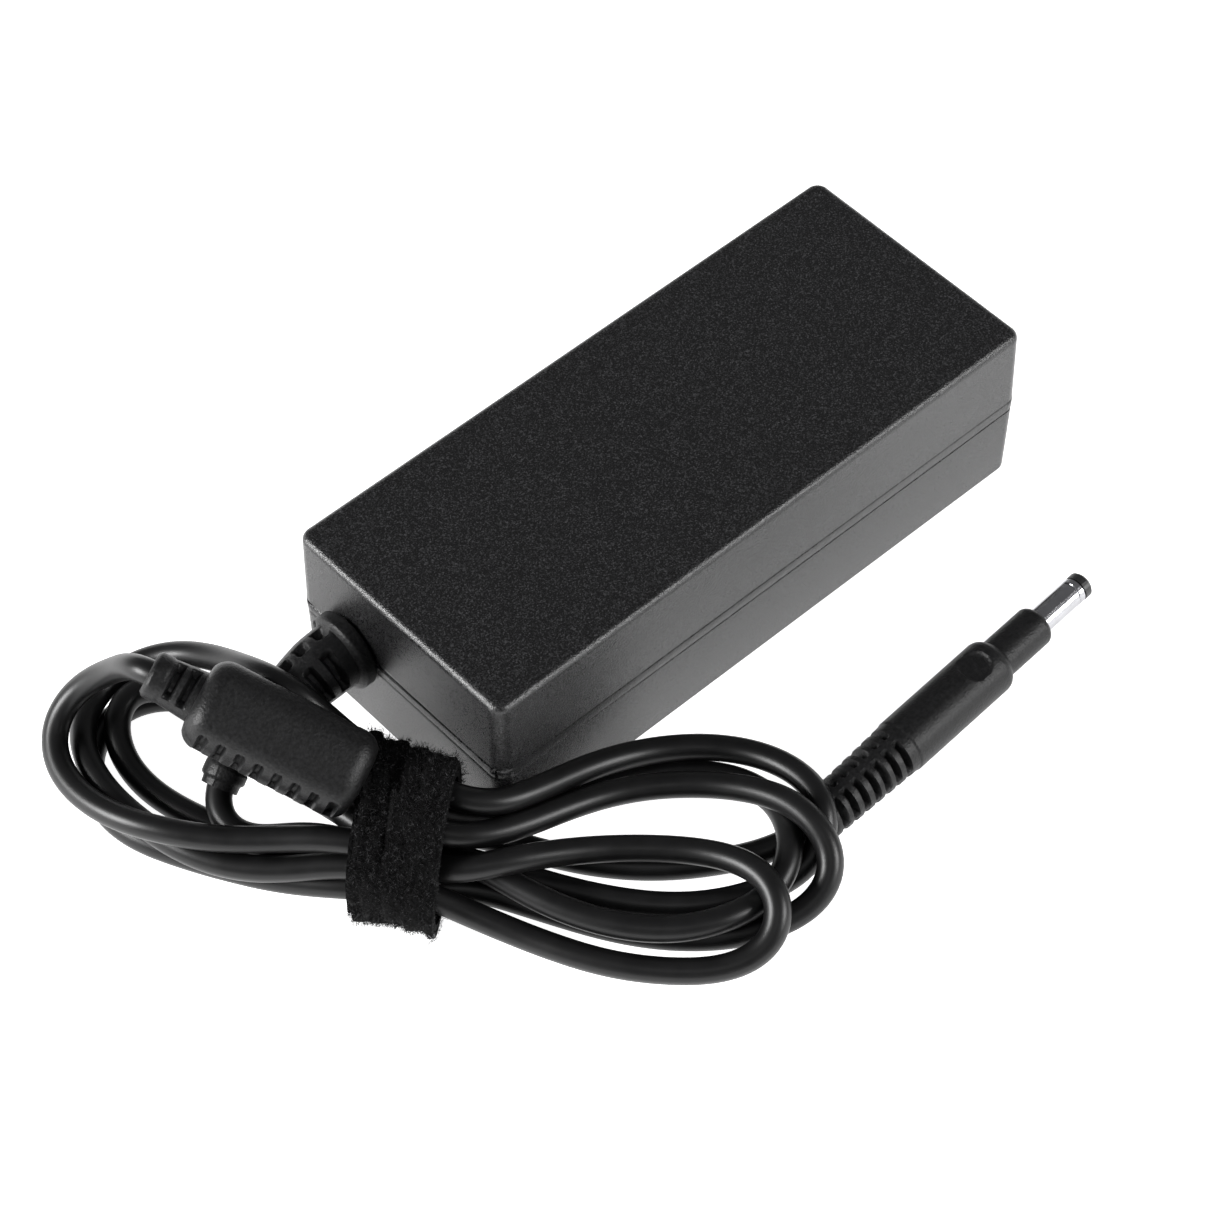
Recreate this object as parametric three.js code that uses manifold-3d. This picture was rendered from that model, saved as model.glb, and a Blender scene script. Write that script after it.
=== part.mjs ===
// Laptop power adapter with its tied output lead, in millimetres.
// +Z is up and the origin is at the centre of the case's bottom face. +X runs along the case from the
// output end to the mains inlet. Every mesh is one closed solid.
import * as THREE from "three";
import { mergeVertices } from "three/addons/utils/BufferGeometryUtils.js";
import Module from "manifold-3d";

const wasm = await Module();
wasm.setup();

// Case
const LENGTH = 112;
const WIDTH = 47.4;
const HEIGHT = 32.5;
const CORNER = 2.6; // radius of the upright corners
const DRAFT = 0.35; // how far each half leans in, from the parting to its flat face
const WALL = 2;
const SPLIT_LOW = 15.3; // parting height on the long sides
const SPLIT_HIGH = 17.4; // parting height on the two ends
const TAB_MARGIN = 1.6; // from the long side to the step between the two heights
const GAP = 0.3;
const LIP_INSET = 1.15; // outside of the bottom shell's lip
const LIP_TOP = 19.2;

// Output lead, its relief and the things on it
const CORD = 4.2;
const EXIT_Y = 11.2;
const EXIT_Z = 16.4;

// Hank: its middle, the direction of its long axis, and the strap round it
const STRAP = { x: -72, y: -21, turn: -48.7, width: 13.5, across: 22, height: 20, thick: 2.4 };
const LOOPS_BOTTOM = 0.2;
const LEFT_LOOPS_TOP = 4.8;
const RIGHT_LOOPS_TOP = 10.4;

// Plug: the point under its axis at the body's front shoulder, its turn and its diameters
const PLUG = { x: 21.6, y: -52.7, turn: 3.8, body: 9.3, neck: 6.9, barrel: 4.5 };
const PLUG_BODY_LENGTH = 22.6;
const PLUG_NECK_LENGTH = 10.4;
const PLUG_BARREL_LENGTH = 11.4;
const PLUG_RELIEF_LENGTH = 19;

// Ferrite: its two ends on the lead's axis
const FERRITE = { from: [-83.5, 13.5, 25.8], to: [-71, -9.2, 15.4], width: 14, sleeve: 8 };

// Board
const BOARD_TOP = 6.6;
const BOARD_THICK = 1.6;
const ON_BOARD = BOARD_TOP + GAP; // where the parts on the board begin

const group = new THREE.Group();

const finish = (color, roughness, metalness = 0) =>
  new THREE.MeshStandardMaterial({ color, roughness, metalness });

const looks = {
  texturedPlastic: finish(0x1c1c1d, 0.62),
  blackPvc: finish(0x161616, 0.4),
  blackPlastic: finish(0x1a1a1a, 0.5),
  label: finish(0x2a2a2c, 0.55),
  chrome: finish(0xd8dadd, 0.12, 1),
  nickel: finish(0xb9bcc0, 0.25, 1),
  aluminium: finish(0xb4b6b9, 0.4, 1),
  copper: finish(0xb06a3c, 0.35, 1),
  fabric: finish(0x1b1b1d, 0.95),
  fibreglass: finish(0x2f5d3a, 0.55),
  ferrite: finish(0x38383b, 0.6),
  yellowFilm: finish(0xd8b84a, 0.5),
  blueCeramic: finish(0x3f72a8, 0.5),
  creamCeramic: finish(0xd8cfb4, 0.5),
  blackEpoxy: finish(0x202022, 0.45),
  greenCeramic: finish(0x3a5b45, 0.55),
  greyFilm: finish(0x8d8f92, 0.6),
};

// ---- helpers -------------------------------------------------------------------------------------

function add(name, geometry, material) {
  const mesh = new THREE.Mesh(geometry, material);
  mesh.name = name;
  group.add(mesh);
  return mesh;
}

function solid(geometry) {
  const bare = geometry.clone();
  bare.deleteAttribute("normal");
  bare.deleteAttribute("uv");
  const merged = mergeVertices(bare, 1e-4);
  return new wasm.Manifold(
    new wasm.Mesh({
      numProp: 3,
      vertProperties: new Float32Array(merged.attributes.position.array),
      triVerts: new Uint32Array(merged.index.array),
    }),
  );
}

function fromSolid(body) {
  const mesh = body.getMesh();
  const positions = new Float32Array(mesh.numVert * 3);
  for (let i = 0; i < mesh.numVert; i++) {
    positions.set(mesh.vertProperties.subarray(i * mesh.numProp, i * mesh.numProp + 3), i * 3);
  }
  const geometry = new THREE.BufferGeometry();
  geometry.setAttribute("position", new THREE.BufferAttribute(positions, 3));
  geometry.setIndex(new THREE.BufferAttribute(new Uint32Array(mesh.triVerts), 1));
  geometry.computeVertexNormals();
  return geometry;
}

function cut(geometry, ...tools) {
  return fromSolid(tools.reduce((body, tool) => body.subtract(solid(tool)), solid(geometry)));
}

function join(geometry, ...others) {
  return fromSolid(others.reduce((body, other) => body.add(solid(other)), solid(geometry)));
}

function keep(geometry, region) {
  return fromSolid(solid(geometry).intersect(solid(region)));
}

// A box given by its lowest and highest corners.
function box(low, high) {
  const size = high.map((value, axis) => value - low[axis]);
  const geometry = new THREE.BoxGeometry(...size);
  return geometry.translate(...low.map((value, axis) => value + size[axis] / 2));
}

// A cylinder along one axis, from its middle point.
function rod(axis, centre, diameter, length, segments = 24) {
  const geometry = new THREE.CylinderGeometry(diameter / 2, diameter / 2, length, segments);
  if (axis === "x") geometry.rotateZ(-Math.PI / 2);
  if (axis === "z") geometry.rotateX(Math.PI / 2);
  return geometry.translate(...centre);
}

// A turned piece along +X: the profile lists distance along the axis and radius.
function turned(profile, segments) {
  const points = profile.map(([along, radius]) => new THREE.Vector2(radius, along));
  return new THREE.LatheGeometry(points, segments).rotateZ(-Math.PI / 2);
}

function roundedOutline(halfX, halfY, radius) {
  const shape = new THREE.Shape();
  shape.moveTo(halfX, -halfY + radius);
  shape.absarc(halfX - radius, halfY - radius, radius, 0, Math.PI / 2);
  shape.absarc(-halfX + radius, halfY - radius, radius, Math.PI / 2, Math.PI);
  shape.absarc(-halfX + radius, -halfY + radius, radius, Math.PI, Math.PI * 1.5);
  shape.absarc(halfX - radius, -halfY + radius, radius, Math.PI * 1.5, Math.PI * 2);
  return shape;
}

// A block whose rounded outline shrinks by an inset at each level, closed at both ends.
function lofted(levels, halfX, halfY, radius, arcs) {
  const rings = levels.map(({ z, inset }) => {
    const corner = Math.max(radius - inset, 0.3);
    const outline = roundedOutline(halfX - inset, halfY - inset, corner).getPoints(arcs);
    return outline.slice(0, -1).map((point) => [point.x, point.y, z]);
  });
  const count = rings[0].length;
  const index = [];
  for (let level = 0; level + 1 < rings.length; level++) {
    for (let i = 0; i < count; i++) {
      const a = level * count + i;
      const b = level * count + ((i + 1) % count);
      index.push(a, b, b + count, a, b + count, a + count);
    }
  }
  const flat = rings[0].map(([x, y]) => new THREE.Vector2(x, y));
  const last = (rings.length - 1) * count;
  for (const [a, b, c] of THREE.ShapeUtils.triangulateShape(flat, [])) {
    index.push(c, b, a, last + a, last + b, last + c);
  }
  const geometry = new THREE.BufferGeometry();
  geometry.setAttribute("position", new THREE.Float32BufferAttribute(rings.flat(2), 3));
  geometry.setIndex(index);
  return geometry;
}

// A straight turned piece bent along a curve: its own x becomes the distance along the curve.
function bentAlong(geometry, curve) {
  const length = curve.getLength();
  const position = geometry.attributes.position;
  const up = new THREE.Vector3(0, 0, 1);
  for (let i = 0; i < position.count; i++) {
    const share = THREE.MathUtils.clamp(position.getX(i) / length, 0, 1);
    const centre = curve.getPointAt(share);
    const ahead = curve.getTangentAt(share);
    const side = new THREE.Vector3().crossVectors(up, ahead).normalize();
    const above = new THREE.Vector3().crossVectors(ahead, side);
    centre.addScaledVector(side, position.getY(i)).addScaledVector(above, position.getZ(i));
    position.setXYZ(i, centre.x, centre.y, centre.z);
  }
  return geometry;
}

function tube(route, diameter, steps, sides) {
  const section = new THREE.Shape().absarc(0, 0, diameter / 2, 0, Math.PI * 2);
  const curve = new THREE.CatmullRomCurve3(route.map((point) => new THREE.Vector3(...point)));
  return new THREE.ExtrudeGeometry(section, { steps, extrudePath: curve, curveSegments: sides });
}

function extruded(outline, depth) {
  return new THREE.ExtrudeGeometry(outline, { depth, bevelEnabled: false, curveSegments: 10 });
}

// ---- case ----------------------------------------------------------------------------------------

const GROOVE = 0.22;
const GROOVE_HALF = 0.14;
const TOP_FILLET = 1.3;
const BOTTOM_FILLET = 0.8;
const CORNER_ARCS = 8;

function filletLevels(height, radius, inset, upward) {
  const levels = [];
  for (let step = 0; step <= 5; step++) {
    const angle = (step / 5) * (Math.PI / 2);
    const z = height - radius + radius * Math.sin(angle);
    levels.push({ z: upward ? z : -z, inset: inset + radius * (1 - Math.cos(angle)) });
  }
  return upward ? levels : levels.reverse();
}

function caseHollow(low, high, inset) {
  const levels = [
    { z: low, inset },
    { z: high, inset },
  ];
  return lofted(levels, LENGTH / 2, WIDTH / 2, CORNER, 4);
}

// The regions beyond the end walls' inner faces, where the parting is at its higher level.
function endBands(low, high, clearance) {
  const reach = WIDTH / 2 - TAB_MARGIN + clearance;
  const inner = LENGTH / 2 - WALL - 0.6 + (clearance > 0 ? -GAP : 0);
  return [-1, 1].map((side) => {
    const ends = [side * inner, side * (LENGTH / 2 + 1)].sort((a, b) => a - b);
    return box([ends[0], -reach, low], [ends[1], reach, high]);
  });
}

const exitHole = (diameter) => rod("x", [-LENGTH / 2, EXIT_Y, EXIT_Z], diameter, 12, 32);

const INLET = { halfY: 13.7, low: 6.2, high: 26.4, depth: 20.5, front: LENGTH / 2 };

function inletBlock(grow, back, front) {
  const outline = roundedOutline(INLET.halfY + grow, (INLET.high - INLET.low) / 2 + grow, 2.2 + grow);
  const geometry = extruded(outline, front - back);
  geometry.rotateY(Math.PI / 2).rotateX(Math.PI / 2);
  return geometry.translate(back, 0, (INLET.high + INLET.low) / 2);
}

function makeTopShell() {
  const outer = lofted(
    [
      { z: SPLIT_LOW + GAP / 2, inset: 0 },
      { z: SPLIT_HIGH - GROOVE_HALF, inset: 0 },
      { z: SPLIT_HIGH, inset: GROOVE },
      { z: SPLIT_HIGH + GROOVE_HALF, inset: 0.05 },
      ...filletLevels(HEIGHT, TOP_FILLET, DRAFT, true),
    ],
    LENGTH / 2,
    WIDTH / 2,
    CORNER,
    CORNER_ARCS,
  );
  const rebate = caseHollow(SPLIT_LOW - 1, LIP_TOP + GAP, LIP_INSET - GAP);
  const hollow = caseHollow(SPLIT_LOW - 1, HEIGHT - WALL, WALL + DRAFT);
  const bands = endBands(SPLIT_LOW - 1, SPLIT_HIGH + GAP / 2, GAP);
  const opening = inletBlock(GAP, LENGTH / 2 - 6, LENGTH / 2 + 2);
  return cut(outer, rebate, hollow, ...bands, exitHole(9.6), opening);
}

function makeBottomShell() {
  const outer = lofted(
    [
      ...filletLevels(0, BOTTOM_FILLET, DRAFT, false),
      { z: SPLIT_LOW - GROOVE_HALF, inset: 0.05 },
      { z: SPLIT_LOW, inset: GROOVE },
      { z: SPLIT_LOW + GROOVE_HALF, inset: 0 },
      { z: SPLIT_HIGH - GAP / 2, inset: 0 },
    ],
    LENGTH / 2,
    WIDTH / 2,
    CORNER,
    CORNER_ARCS,
  );
  const lowPart = keep(outer, caseHollow(-1, SPLIT_LOW - GAP / 2, -1));
  const tabs = endBands(SPLIT_LOW - 1, SPLIT_HIGH, 0).map((band) => keep(outer, band));
  const lip = caseHollow(SPLIT_LOW - 2, LIP_TOP, LIP_INSET);
  const hollow = caseHollow(WALL, LIP_TOP + 1, WALL);
  const recess = box([-40, -18, -1], [30, 18, 0.6]);
  const opening = inletBlock(GAP, LENGTH / 2 - 6, LENGTH / 2 + 2);
  return cut(join(lowPart, ...tabs, lip), hollow, recess, exitHole(9.6), opening);
}

// ---- mains inlet ---------------------------------------------------------------------------------

const SOCKET = { halfY: 12, low: 8.2, high: 24.4, depth: 15.5 };

function makeInletHousing() {
  const back = INLET.front - INLET.depth;
  const flange = box([LENGTH / 2 - WALL - 3.2, -16.2, 4.4], [LENGTH / 2 - WALL - 0.9, 16.2, 28.2]);
  const socket = box(
    [INLET.front - SOCKET.depth, -SOCKET.halfY, SOCKET.low],
    [INLET.front + 1, SOCKET.halfY, SOCKET.high],
  );
  const pinHoles = PINS.map(({ y, z }) =>
    box([back - 1, y - 1.3, z - 2.3], [INLET.front, y + 1.3, z + 2.3]),
  );
  return cut(join(inletBlock(0, back, INLET.front), flange), socket, ...pinHoles);
}

const PINS = [
  { name: "inlet_pin_line", y: -7, z: 14.3 },
  { name: "inlet_pin_neutral", y: 7, z: 14.3 },
  { name: "inlet_pin_earth", y: 0, z: 18.3 },
];

function makeInletPin({ y, z }) {
  return box([INLET.front - INLET.depth - 2.5, y - 1, z - 2], [INLET.front - 2, y + 1, z + 2]);
}

// ---- circuit -------------------------------------------------------------------------------------

function onBoard(low, high, height) {
  return box([low[0], low[1], ON_BOARD], [high[0], high[1], ON_BOARD + height]);
}

function canCapacitor(x, y, diameter, height) {
  return rod("z", [x, y, ON_BOARD + height / 2], diameter, height, 28);
}

// A rectangular ring of ferrite round a window, lying in the YZ plane.
function squareCore(x, depth, halfY, low, high, limb) {
  const ring = box([x - depth / 2, -halfY, low], [x + depth / 2, halfY, high]);
  const window = box([x - depth, -halfY + limb, low + limb], [x + depth, halfY - limb, high - limb]);
  return cut(ring, window);
}

function wireCoil(axis, centre, outer, inner, length) {
  return cut(rod(axis, centre, outer, length, 24), rod(axis, centre, inner, length + 2, 24));
}

function addCircuit() {
  const board = box([-51.5, -20.6, BOARD_TOP - BOARD_THICK], [32, 20.6, BOARD_TOP]);
  add("circuit_board", board, looks.fibreglass);
  add("insulating_sheet", box([-52, -21, 3.6], [32.4, 21, 4]), looks.greyFilm);
  add("shield_plate", box([-50, -20, 2.4], [31, 20, 2.8]), looks.aluminium);

  const fuse = join(
    rod("x", [21, -17.2, ON_BOARD + 2.7], 5, 14, 20),
    rod("x", [13.2, -17.2, ON_BOARD + 2.7], 5.3, 4, 20),
    rod("x", [28.8, -17.2, ON_BOARD + 2.7], 5.3, 4, 20),
  );
  add("input_fuse", fuse, looks.creamCeramic);
  add("inrush_thermistor", rod("x", [7.5, -15.2, ON_BOARD + 5], 9.5, 4, 24), looks.greenCeramic);
  add("x_capacitor", onBoard([14, 12.4], [31, 20], 14), looks.yellowFilm);

  const chokeHigh = ON_BOARD + 19;
  add("choke_core", squareCore(23, 5, 10.6, ON_BOARD, chokeHigh, 4), looks.ferrite);
  for (const [number, side] of [[1, -1], [2, 1]]) {
    const middle = [23, side * 8.6, ON_BOARD + 9.5];
    const winding = cut(
      box([18.6, middle[1] - 3.6, ON_BOARD + 4.4], [27.4, middle[1] + 3.6, chokeHigh - 4.4]),
      box([20.2, middle[1] - 2.3, ON_BOARD], [25.8, middle[1] + 2.3, chokeHigh]),
    );
    add(`choke_winding_${number}`, winding, looks.copper);
  }

  add("bridge_rectifier", onBoard([6, 13.6], [12.6, 17.8], 13), looks.blackEpoxy);
  add("bulk_capacitor", rod("x", [1, 0, ON_BOARD + 9.3], 18, 28, 32), looks.blackPlastic);

  add("primary_heatsink", cut(
    onBoard([-22, -20.4], [3, -18.6], 20),
    rod("y", [-9, -19.5, ON_BOARD + 13], 3.1, 4, 16),
  ), looks.aluminium);
  add("primary_insulating_pad", cut(
    onBoard([-15, -18.3], [-3, -17.9], 17),
    rod("y", [-9, -18.1, ON_BOARD + 13], 3.1, 2, 16),
  ), looks.greyFilm);
  add("switching_transistor", cut(
    onBoard([-14, -17.6], [-4, -13.2], 15.5),
    rod("y", [-9, -16, ON_BOARD + 13], 3.1, 6, 16),
  ), looks.blackEpoxy);
  add("primary_screw", join(
    rod("y", [-9, -12, ON_BOARD + 13], 4.6, 1.7, 16),
    rod("y", [-9, -16.2, ON_BOARD + 13], 2.4, 7.6, 12),
  ), looks.nickel);

  addTransformer();

  add("y_capacitor", rod("x", [-19.4, -14, ON_BOARD + 4.6], 8.4, 4, 24), looks.blueCeramic);
  add("optocoupler", onBoard([-20, 13.4], [-15.4, 18.6], 3.4), looks.blackEpoxy);
  add("controller_chip", onBoard([-8, 13], [-2, 18], 1.6), looks.blackEpoxy);

  add("secondary_heatsink", cut(
    onBoard([-46, 18.6], [-22, 20.4], 20),
    rod("y", [-36, 19.5, ON_BOARD + 13], 3.1, 4, 16),
  ), looks.aluminium);
  add("output_rectifier", cut(
    onBoard([-41, 13.9], [-31, 18.3], 15.5),
    rod("y", [-36, 16, ON_BOARD + 13], 3.1, 6, 16),
  ), looks.blackEpoxy);
  add("secondary_screw", join(
    rod("y", [-36, 12.6, ON_BOARD + 13], 4.6, 1.7, 16),
    rod("y", [-36, 16.8, ON_BOARD + 13], 2.4, 7.6, 12),
  ), looks.nickel);

  add("output_capacitor_1", canCapacitor(-45.4, -0.6, 10, 19), looks.blackPlastic);
  add("output_capacitor_2", canCapacitor(-45.4, -11.2, 10, 19), looks.blackPlastic);
  add("output_choke", wireCoil("x", [-34, -16.4, ON_BOARD + 4.4], 8, 4, 12), looks.copper);
}

const TRANSFORMER = { x: -27.5, halfY: 12, high: 22, limb: 4.5, depth: 9 };

function addTransformer() {
  const { x, halfY, high, limb, depth } = TRANSFORMER;
  const low = ON_BOARD + 0.6;
  const top = ON_BOARD + high;
  const middle = (low + top) / 2;
  const core = join(
    squareCore(x, depth, halfY, low, top, limb),
    rod("z", [x, 0, middle], 7.6, top - low - 2, 24),
  );
  add("transformer_core", core, looks.ferrite);
  const inside = top - low - 2 * limb - 2 * GAP;
  const bobbin = cut(
    join(
      rod("z", [x, 0, middle], 9.8, inside, 28),
      rod("z", [x, 0, middle - inside / 2 + 0.5], 14.2, 1, 28),
      rod("z", [x, 0, middle + inside / 2 - 0.5], 14.2, 1, 28),
    ),
    rod("z", [x, 0, middle], 8.2, inside + 2, 28),
  );
  add("transformer_bobbin", bobbin, looks.blackPlastic);
  const winding = wireCoil("z", [x, 0, middle], 14, 10.4, inside - 2 - 2 * GAP);
  add("transformer_winding", winding, looks.yellowFilm);
}

// ---- output lead ---------------------------------------------------------------------------------

const reliefCurve = new THREE.CatmullRomCurve3([
  new THREE.Vector3(-LENGTH / 2 + 4.2, EXIT_Y, EXIT_Z),
  new THREE.Vector3(-LENGTH / 2, EXIT_Y, EXIT_Z),
  new THREE.Vector3(-LENGTH / 2 - 6, EXIT_Y, EXIT_Z - 0.2),
  new THREE.Vector3(-LENGTH / 2 - 14, EXIT_Y, 13.8),
  new THREE.Vector3(-LENGTH / 2 - 20.5, EXIT_Y + 0.1, 11.2),
  new THREE.Vector3(-LENGTH / 2 - 25.2, EXIT_Y - 0.3, 9),
  new THREE.Vector3(-LENGTH / 2 - 28.4, EXIT_Y - 1.4, 6.9),
]);

function makeStrainRelief() {
  const start = 4.2; // the outside of the case wall, measured along the curve
  const end = reliefCurve.getLength();
  const profile = [
    [0, 0],
    [0, 6],
    [1.7, 6],
    [1.7, 4.5],
    [start + GAP, 4.5],
    [start + GAP, 6.6],
    [start + 2.8, 6.6],
    [start + 3.1, 6.3],
    [start + 3.1, 5.4],
  ];
  for (let step = 1; step <= 8; step++) {
    const share = step / 8;
    profile.push([start + 3.1 + share * (end - start - 3.1), 5.4 - 1.9 * share]);
  }
  profile.push([end, 0]);
  return bentAlong(turned(profile, 28), reliefCurve);
}

const LEAD_IN = [
  [-85, 9.25, 6.35],
  [-86.4, 7.8, 4.9],
  [-86.9, 5, 3.1],
  [-86.3, 2.6, 2.25],
  [-84.8, 0.2, 2.2],
];

// One of the two wires from the lead's inner end down to the board.
function outputWire(y) {
  const route = [
    [-51.2, y, EXIT_Z],
    [-49.6, y, EXIT_Z - 0.6],
    [-48.6, y, EXIT_Z - 3],
    [-48.4, y, ON_BOARD + 0.1],
  ];
  return tube(route, 1.8, 8, 8);
}

const FERRITE_RUN_END = [
  [-90.6, 27.6, 26.6],
  [-94.6, 30.6, 22],
  [-97.8, 30.6, 15.4],
  [-99.2, 27.8, 9.6],
  [-99.4, 25.6, 7.4],
];

const LEAD_OUT = [
  [-23.8, -55.9, 4],
  [-22.1, -55.8, 4.3],
  [-20.5, -55.6, 4.5],
];

// The outline of one side of the hank, seen from above, with its open middle.
function loopOutline(outer, inner) {
  const smooth = (corners) => {
    const knots = corners.map(([x, y]) => new THREE.Vector3(x, y, 0));
    const points = new THREE.CatmullRomCurve3(knots, true).getPoints(40).slice(0, -1);
    return THREE.ShapeUtils.isClockWise(points) ? points.reverse() : points;
  };
  const shape = new THREE.Shape(smooth(outer));
  shape.holes.push(new THREE.Path(smooth(inner)));
  return shape;
}

const LEFT_OUTER = [
  [-68.5, -10],
  [-66.5, 8],
  [-67.5, 24],
  [-75, 37],
  [-86, 40.5],
  [-96, 36],
  [-101.5, 26],
  [-101, 13],
  [-96, 0],
  [-90, -11],
  [-83.2, -20],
];
const LEFT_INNER = [
  [-77, -9],
  [-74, 8],
  [-76, 24],
  [-83, 31.5],
  [-91, 28],
  [-94.5, 18],
  [-92.5, 6],
  [-87, -4.5],
];
const RIGHT_OUTER = [
  [-63, -15],
  [-57.8, -25.2],
  [-47, -25.2],
  [-36, -26.4],
  [-26, -32],
  [-18.5, -41],
  [-19.5, -48],
  [-24.5, -54],
  [-26, -63],
  [-35, -71],
  [-47, -71.5],
  [-58, -65],
  [-68, -52],
  [-77.5, -37],
];
const RIGHT_INNER = [
  [-60.5, -28.5],
  [-49, -32],
  [-38, -34],
  [-28.5, -41],
  [-28, -49],
  [-34, -57.5],
  [-44, -61],
  [-53, -56],
  [-61.5, -44],
  [-67, -33],
];

function makeLoops(outer, inner, top) {
  const loops = extruded(loopOutline(outer, inner), top - LOOPS_BOTTOM).translate(0, 0, LOOPS_BOTTOM);
  const room = roundedOutline(STRAP.across / 2 + 3, STRAP.height, 1);
  return cut(loops, alongHank(room, STRAP.width + 1 + 2 * GAP, STRAP.height / 2));
}

// A stadium standing across the hank, extruded along it.
function strapSection(across, height) {
  return roundedOutline(across / 2, height / 2, height / 2 - 0.6);
}

function alongHank(outline, length, height) {
  const geometry = extruded(outline, length).translate(0, 0, -length / 2);
  geometry.rotateX(Math.PI / 2).rotateZ(Math.PI / 2);
  geometry.translate(0, 0, height);
  geometry.rotateZ(THREE.MathUtils.degToRad(STRAP.turn));
  return geometry.translate(STRAP.x, STRAP.y, 0);
}

function makeStrap() {
  const middle = STRAP.height / 2 + 0.15;
  const outer = alongHank(strapSection(STRAP.across, STRAP.height), STRAP.width, middle);
  const inside = strapSection(STRAP.across - 2 * STRAP.thick, STRAP.height - 2 * STRAP.thick);
  return cut(outer, alongHank(inside, STRAP.width + 4, middle));
}

function makeNeck() {
  const shrink = 2 * (STRAP.thick + GAP);
  const outline = strapSection(STRAP.across - shrink, STRAP.height - shrink);
  return alongHank(outline, STRAP.width + 1, STRAP.height / 2 + 0.15);
}

// ---- ferrite -------------------------------------------------------------------------------------

const ferriteFrom = new THREE.Vector3(...FERRITE.from);
const ferriteTo = new THREE.Vector3(...FERRITE.to);

// Places a piece modelled along +X, starting at the origin, along the ferrite's axis.
function alongFerrite(geometry) {
  const ahead = ferriteTo.clone().sub(ferriteFrom).normalize();
  const side = new THREE.Vector3(0, 0, 1).cross(ahead).normalize();
  const above = new THREE.Vector3().crossVectors(ahead, side);
  geometry.applyMatrix4(new THREE.Matrix4().makeBasis(ahead, side, above));
  return geometry.translate(...FERRITE.from);
}

// The lead's run through the ferrite: straight on its axis, then down to the loops.
function ferriteRun() {
  const length = ferriteTo.distanceTo(ferriteFrom);
  const points = [];
  const step = (length + FERRITE.sleeve + 2) / 6;
  for (let along = length + 0.6; along > -FERRITE.sleeve - 2; along -= step) {
    points.push(ferriteFrom.clone().lerp(ferriteTo, along / length).toArray());
  }
  return [...points, ...FERRITE_RUN_END];
}

function addFerrite() {
  const length = ferriteTo.distanceTo(ferriteFrom);
  const half = FERRITE.width / 2;
  const bevel = 1.2;
  const outline = roundedOutline(half - bevel, half - bevel, half - bevel - 1.6);
  const block = new THREE.ExtrudeGeometry(outline, {
    depth: length - 2 * bevel,
    bevelThickness: bevel,
    bevelSize: bevel,
    bevelSegments: 3,
    curveSegments: 6,
  });
  block.translate(0, 0, bevel).rotateY(Math.PI / 2);
  const sleeve = rod("x", [-FERRITE.sleeve / 2 + 0.5, 0, 0], 8.4, FERRITE.sleeve + 1, 24);
  const bore = rod("x", [length / 2, 0, 0], CORD + 2 * GAP, length + 40, 24);
  const cavity = rod("x", [length / 2, 0, 0], 11.6, 25.6, 24);
  const housing = cut(join(block, sleeve), bore, cavity);
  add("ferrite_housing", alongFerrite(housing), looks.blackPlastic);
  const core = wireCoil("x", [length / 2, 0, 0], 11, 5.4, 25);
  add("ferrite_core", alongFerrite(core), looks.ferrite);
}

// ---- plug ----------------------------------------------------------------------------------------

function atPlug(geometry) {
  geometry.rotateZ(THREE.MathUtils.degToRad(PLUG.turn));
  return geometry.translate(PLUG.x, PLUG.y, PLUG.body / 2 + 0.05);
}

function addPlug() {
  const body = PLUG.body / 2;
  const neck = PLUG.neck / 2;
  const barrel = PLUG.barrel / 2;
  const back = -PLUG_BODY_LENGTH;
  const tip = PLUG_NECK_LENGTH + PLUG_BARREL_LENGTH;
  const seat = PLUG_NECK_LENGTH - 5;
  const overmould = turned(
    [
      [back - PLUG_RELIEF_LENGTH, 0],
      [back - PLUG_RELIEF_LENGTH, 3.3],
      [back - 12, 4.2],
      [back, body],
      [-0.8, body - 0.05],
      [0, body - 0.8],
      [0, neck + 0.2],
      [PLUG_NECK_LENGTH - 0.6, neck],
      [PLUG_NECK_LENGTH, neck - 0.6],
      [PLUG_NECK_LENGTH, barrel + GAP],
      [seat, barrel + GAP],
      [seat, 0],
    ],
    28,
  );
  const dimple = rod("z", [-5.4, 0, body], 5.6, 1.8, 24);
  add("plug_body", atPlug(cut(overmould, dimple)), looks.blackPlastic);

  const ring = tip - 1.7;
  const sleeve = turned(
    [
      [seat + GAP, barrel - 0.3],
      [seat + GAP, barrel],
      [ring - 1.6, barrel],
      [ring - 1.5, barrel - 0.15],
      [ring - 1.3, barrel - 0.15],
      [ring - 1.2, barrel],
      [ring - GAP, barrel],
      [ring - GAP, barrel - 0.3],
      [seat + GAP, barrel - 0.3],
    ],
    28,
  );
  add("plug_barrel", atPlug(sleeve), looks.chrome);
  const insulator = turned(
    [
      [seat + GAP, 1.3],
      [seat + GAP, 1.65],
      [ring, 1.65],
      [ring, barrel],
      [tip - 0.4, barrel],
      [tip, barrel - 0.4],
      [tip, 1.3],
      [seat + GAP, 1.3],
    ],
    28,
  );
  add("plug_insulator", atPlug(insulator), looks.blackPlastic);
  const contact = wireCoil("x", [(seat + tip) / 2 + 0.2, 0, 0], 2, 1.5, tip - seat - 1.4);
  add("plug_spring_contact", atPlug(contact), looks.nickel);
}

// ---- assembly ------------------------------------------------------------------------------------

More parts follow.
